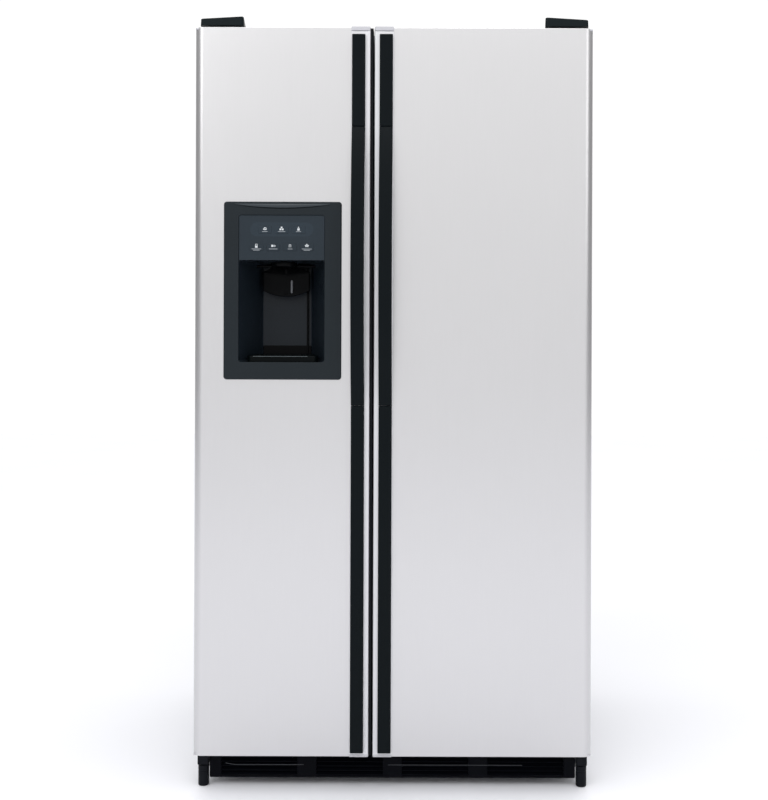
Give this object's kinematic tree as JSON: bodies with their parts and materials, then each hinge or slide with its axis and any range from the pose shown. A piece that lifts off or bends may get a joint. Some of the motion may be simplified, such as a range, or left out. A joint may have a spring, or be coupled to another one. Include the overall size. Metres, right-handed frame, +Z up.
{
  "type": "side by side refrigerator",
  "caption": "Side-by-side refrigerator with brushed steel doors, full-height bowed handles and an ice and water dispenser in the narrow freezer door.",
  "frame": {"origin": "middle of the footprint on the floor", "axes": "+X right seen from the front, +Y into the cabinet, +Z up"},
  "size_m": [0.908, 0.8658, 1.772],
  "materials": {
    "door_steel": "satin",
    "cabinet_paint": "satin",
    "plated_steel": "satin",
    "dark_steel": "satin",
    "insulation": "matte",
    "white_liner": "gloss",
    "clear_plastic": "gloss",
    "white_plastic": "satin",
    "shelf_glass": "gloss",
    "white_wire": "gloss",
    "gasket_rubber": "matte",
    "handle_black": "gloss",
    "bezel_black": "satin",
    "well_black": "satin",
    "panel_grey": "satin",
    "key_grey": "satin",
    "grille_black": "satin",
    "roller_plastic": "satin",
    "compressor_paint": "gloss",
    "coil_aluminium": "satin",
    "valve_plastic": "satin",
    "board_black": "matte"
  },
  "bodies": {
    "cabinet": {"cabinet_shell": "cabinet_paint", "cabinet_foam": "insulation", "back_panel": "plated_steel", "rear_cover": "board_black", "freezer_liner": "white_liner", "fresh_food_liner": "white_liner", "base_frame": "plated_steel", "top_hinges": "plated_steel", "hinge_screws": "plated_steel", "hinge_covers": "bezel_black", "bottom_hinges": "dark_steel", "freezer_shelves": "white_wire", "glass_shelves": "shelf_glass", "evaporator_cover": "white_plastic", "evaporator": "coil_aluminium", "condenser": "coil_aluminium", "fan_motors": "dark_steel", "compressor": "compressor_paint", "water_valve": "valve_plastic", "ice_maker": "white_plastic", "control_housing": "white_plastic"},
    "freezer_door": {"freezer_door_skin": "door_steel", "freezer_door_foam": "insulation", "freezer_door_liner": "white_liner", "freezer_door_gasket": "gasket_rubber", "freezer_door_handle": "handle_black", "freezer_door_bins": "clear_plastic", "dispenser_housing": "well_black", "dispenser_bezel": "bezel_black", "control_panel": "panel_grey"},
    "fresh_door": {"fresh_door_skin": "door_steel", "fresh_door_foam": "insulation", "fresh_door_liner": "white_liner", "fresh_door_gasket": "gasket_rubber", "fresh_door_handle": "handle_black", "fresh_door_bins": "clear_plastic"},
    "leveling_leg_left": {"leveling_leg_left": "roller_plastic"},
    "leveling_leg_right": {"leveling_leg_right": "roller_plastic"},
    "rear_roller_left": {"rear_roller_left": "roller_plastic"},
    "rear_roller_right": {"rear_roller_right": "roller_plastic"},
    "base_grille": {"base_grille": "grille_black"},
    "crisper_lower": {"crisper_lower": "clear_plastic"},
    "crisper_upper": {"crisper_upper": "clear_plastic"},
    "freezer_basket": {"freezer_basket": "white_plastic"},
    "ice_bucket": {"ice_bucket": "white_plastic"},
    "evaporator_fan": {"evaporator_fan": "board_black"},
    "condenser_fan": {"condenser_fan": "board_black"},
    "feeler_arm": {"feeler_arm": "plated_steel"},
    "temp_dial_fresh": {"temp_dial_fresh": "white_plastic"},
    "temp_dial_freezer": {"temp_dial_freezer": "white_plastic"},
    "dispenser_pad": {"dispenser_pad": "well_black"},
    "drip_grille": {"drip_grille": "bezel_black"},
    "dairy_lid": {"dairy_lid": "clear_plastic"},
    "key_crushed": {"key_crushed": "key_grey"},
    "key_cubed": {"key_cubed": "key_grey"},
    "key_water": {"key_water": "key_grey"},
    "key_lock": {"key_lock": "key_grey"},
    "key_light": {"key_light": "key_grey"},
    "key_fast": {"key_fast": "key_grey"},
    "key_filter": {"key_filter": "key_grey"}
  },
  "joints": [
    {"name": "freezer_door_swing", "type": "hinge", "parent": "cabinet", "child": "freezer_door", "pos_m": [-0.432, -0.343, 0.9], "axis": [0, 0, -1], "range_deg": [0, 125]},
    {"name": "fresh_door_swing", "type": "hinge", "parent": "cabinet", "child": "fresh_door", "pos_m": [0.432, -0.343, 0.9], "axis": [0, 0, 1], "range_deg": [0, 125]},
    {"name": "leg_left_turn", "type": "hinge", "parent": "cabinet", "child": "leveling_leg_left", "pos_m": [-0.436, -0.337, 0.03], "axis": [0, 0, 1], "range_deg": [-180, 180]},
    {"name": "roller_left_roll", "type": "hinge", "parent": "cabinet", "child": "rear_roller_left", "pos_m": [-0.397, 0.388, 0.025], "axis": [1, 0, 0], "continuous": true},
    {"name": "leg_right_turn", "type": "hinge", "parent": "cabinet", "child": "leveling_leg_right", "pos_m": [0.436, -0.337, 0.03], "axis": [0, 0, 1], "range_deg": [-180, 180]},
    {"name": "roller_right_roll", "type": "hinge", "parent": "cabinet", "child": "rear_roller_right", "pos_m": [0.397, 0.388, 0.025], "axis": [1, 0, 0], "continuous": true},
    {"name": "grille_pull", "type": "slide", "parent": "cabinet", "child": "base_grille", "axis": [0, -1, 0], "range_m": [0, 0.05]},
    {"name": "crisper_lower_pull", "type": "slide", "parent": "cabinet", "child": "crisper_lower", "axis": [0, -1, 0], "range_m": [0, 0.08]},
    {"name": "crisper_upper_pull", "type": "slide", "parent": "cabinet", "child": "crisper_upper", "axis": [0, -1, 0], "range_m": [0, 0.08]},
    {"name": "freezer_basket_pull", "type": "slide", "parent": "cabinet", "child": "freezer_basket", "axis": [0, -1, 0], "range_m": [0, 0.08]},
    {"name": "ice_bucket_pull", "type": "slide", "parent": "cabinet", "child": "ice_bucket", "axis": [0, -1, 0], "range_m": [0, 0.1]},
    {"name": "evaporator_fan_spin", "type": "hinge", "parent": "cabinet", "child": "evaporator_fan", "pos_m": [-0.2385, 0.333, 1.18], "axis": [0, 1, 0], "continuous": true},
    {"name": "condenser_fan_spin", "type": "hinge", "parent": "cabinet", "child": "condenser_fan", "pos_m": [-0.091, 0.345, 0.145], "axis": [1, 0, 0], "continuous": true},
    {"name": "feeler_arm_swing", "type": "hinge", "parent": "cabinet", "child": "feeler_arm", "pos_m": [-0.379, -0.068, 1.582], "axis": [1, 0, 0], "range_deg": [-20, 20]},
    {"name": "fresh_dial_turn", "type": "hinge", "parent": "cabinet", "child": "temp_dial_fresh", "pos_m": [0.0995, -0.2, 1.67], "axis": [0, -1, 0], "range_deg": [-135, 135]},
    {"name": "freezer_dial_turn", "type": "hinge", "parent": "cabinet", "child": "temp_dial_freezer", "pos_m": [0.2795, -0.2, 1.67], "axis": [0, -1, 0], "range_deg": [-135, 135]},
    {"name": "dispenser_pad_push", "type": "hinge", "parent": "freezer_door", "child": "dispenser_pad", "pos_m": [-0.254, -0.296, 1.202], "axis": [1, 0, 0], "range_deg": [0, 12], "stiffness_Nm_per_rad": 0.6},
    {"name": "drip_grille_pull", "type": "slide", "parent": "freezer_door", "child": "drip_grille", "axis": [0, -1, 0], "range_m": [0, 0.06]},
    {"name": "dairy_lid_lift", "type": "hinge", "parent": "fresh_door", "child": "dairy_lid", "pos_m": [0.2, -0.21, 1.625], "axis": [1, 0, 0], "range_deg": [0, 80]},
    {"name": "key_crushed_press", "type": "slide", "parent": "freezer_door", "child": "key_crushed", "axis": [0, 1, 0], "range_m": [0, 0.0006], "stiffness_N_per_m": 900},
    {"name": "key_cubed_press", "type": "slide", "parent": "freezer_door", "child": "key_cubed", "axis": [0, 1, 0], "range_m": [0, 0.0006], "stiffness_N_per_m": 900},
    {"name": "key_water_press", "type": "slide", "parent": "freezer_door", "child": "key_water", "axis": [0, 1, 0], "range_m": [0, 0.0006], "stiffness_N_per_m": 900},
    {"name": "key_lock_press", "type": "slide", "parent": "freezer_door", "child": "key_lock", "axis": [0, 1, 0], "range_m": [0, 0.0006], "stiffness_N_per_m": 900},
    {"name": "key_light_press", "type": "slide", "parent": "freezer_door", "child": "key_light", "axis": [0, 1, 0], "range_m": [0, 0.0006], "stiffness_N_per_m": 900},
    {"name": "key_fast_press", "type": "slide", "parent": "freezer_door", "child": "key_fast", "axis": [0, 1, 0], "range_m": [0, 0.0006], "stiffness_N_per_m": 900},
    {"name": "key_filter_press", "type": "slide", "parent": "freezer_door", "child": "key_filter", "axis": [0, 1, 0], "range_m": [0, 0.0006], "stiffness_N_per_m": 900}
  ]
}
